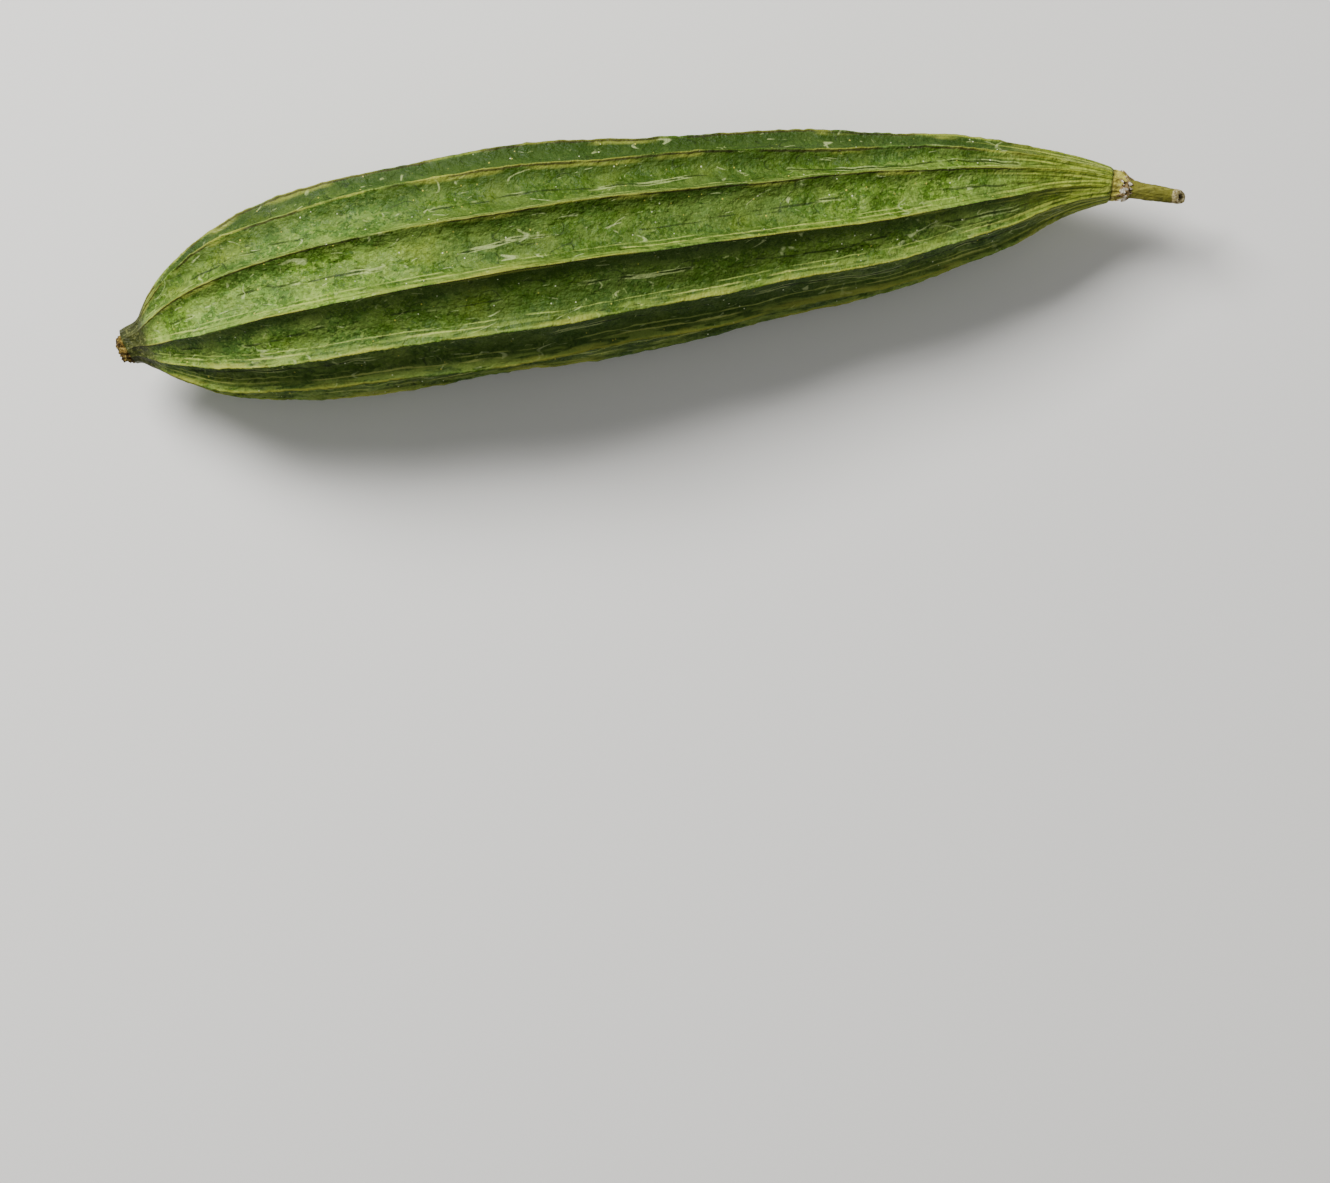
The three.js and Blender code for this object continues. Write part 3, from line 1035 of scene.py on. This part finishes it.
@dataclass(frozen=True)
class Studio:
    """A pale floor, soft light and a camera that looks straight down, in metres and degrees."""

    lamps: tuple[Lamp, ...] = (
        Lamp("key", (-0.38, 0.56, 0.72), 0.42, 18.5),
        Lamp("fill", (0.2, -0.3, 1.4), 1.2, 2.5),
    )
    room_colour: str = "EFF1F4"
    room_strength: float = 0.24
    floor_colour: str = "E9E7E2"
    floor_roughness: float = 0.8
    floor_side: float = 6.0
    camera_height: float = 0.92
    camera_place: tuple[float, float] = (-0.0065, -0.0646)
    camera_roll: float = -8.85
    view_width: float = 0.245
    subject_height: float = 0.02

    def build(self) -> None:
        """Makes the floor, the lights and the camera."""
        half = self.floor_side / 2
        mesh = bpy.data.meshes.new("floor")
        corners = [(-half, -half, 0), (half, -half, 0), (half, half, 0), (-half, half, 0)]
        mesh.from_pydata(corners, [], [(0, 1, 2, 3)])
        floor = bpy.data.objects.new("floor", mesh)
        bpy.context.scene.collection.objects.link(floor)
        made = bpy.data.materials.new("matt_studio_paper")
        made.use_nodes = True
        shader = made.node_tree.nodes["Principled BSDF"]
        shader.inputs["Base Color"].default_value = linear(self.floor_colour)
        shader.inputs["Roughness"].default_value = self.floor_roughness
        mesh.materials.append(made)
        for lamp in self.lamps:
            self._light(lamp)
        world = bpy.data.worlds.new("soft_room")
        world.use_nodes = True
        room = world.node_tree.nodes["Background"]
        room.inputs["Color"].default_value = linear(self.room_colour)
        room.inputs["Strength"].default_value = self.room_strength
        bpy.context.scene.world = world
        self._camera()

    def _light(self, lamp: Lamp) -> None:
        """Adds a lamp that faces the gourd."""
        light = bpy.data.lights.new(lamp.name, "AREA")
        light.size, light.energy = lamp.side, lamp.power
        holder = bpy.data.objects.new(lamp.name, light)
        holder.location = lamp.place
        x, y, z = lamp.place
        holder.rotation_euler = (math.atan2(math.hypot(x, y), z), 0, math.atan2(y, x) + math.pi / 2)
        bpy.context.scene.collection.objects.link(holder)

    def _camera(self) -> None:
        """Adds the camera. Its lens makes the view as wide as view_width at the gourd's middle height."""
        lens = bpy.data.cameras.new("camera")
        distance = self.camera_height - self.subject_height
        lens.sensor_width = 36.0
        lens.lens = lens.sensor_width * distance / self.view_width
        camera = bpy.data.objects.new("camera", lens)
        camera.location = (*self.camera_place, self.camera_height)
        camera.rotation_euler = (0, 0, math.radians(self.camera_roll))
        bpy.context.scene.collection.objects.link(camera)
        bpy.context.scene.camera = camera


def placed_line() -> CentreLine:
    """Places the gourd's axis, so that the plain fruit's box shares its middle with the CAD fruit's.

    Returns:
        The axis in the row frame.
    """
    # The bow from 15 to 145 is rounded from a least-squares fit to the photo's outline and crests.
    bow = SmoothCurve((
        (0, -0.8), (3, 0.2), (6, 0.5), (15, 1.8), (33, 3.6), (72, 4.5), (112, 4.0), (145, 3.2),
        (172, 3.2), (180, 2.7), (186, 1.6), (190, 0.1), (199.5, -3.0),
    ))
    height = SmoothCurve((
        (0, 15.2), (18, 16.9), (48, 19.15), (75, 19.75), (98, 18.6), (125, 16.6), (158, 15.4),
        (186, 15.5), (199.5, 16.2),
    ))
    rings = Fruit(CentreLine(bow, height)).plain_rings()[..., :2]
    middle = (rings.min(axis=(0, 1)) + rings.max(axis=(0, 1))) / 2
    low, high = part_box(Node.FRUIT.value)
    target = (np.array(low) + np.array(high))[:2] / (2 * MM)
    return CentreLine(bow, height, tuple(target - middle))


def finish_piece(piece: bpy.types.Object, finish: PlantFinish, node: Node) -> None:
    """Dresses a piece and ties it to the frame.

    Args:
        piece: The piece.
        finish: Its finish.
        node: The CAD node that it stands for.
    """
    piece.data.materials.append(finish.material())
    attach(piece, "root")
    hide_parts(node.value)
    LOG.info("%s: %d faces, stands for %s", piece.name, len(piece.data.polygons), node.value)


def main() -> None:
    """Builds the gourd's pieces in order, then the studio."""
    logging.basicConfig(level=logging.INFO, format="%(name)s: %(message)s")
    line = placed_line()
    stem = Stem(line)
    finish_piece(Fruit(line).build(), WAXY_RIND, Node.FRUIT)
    finish_piece(stem.build(), STALK_RIND, Node.STEM)
    finish_piece(stem.build_crust(), CORKY_CRUST, Node.STEM)
    finish_piece(BlossomScar(line).build(), DRIED_SCAR, Node.SCAR)
    Studio().build()


if __name__ == "__main__":
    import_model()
    main()
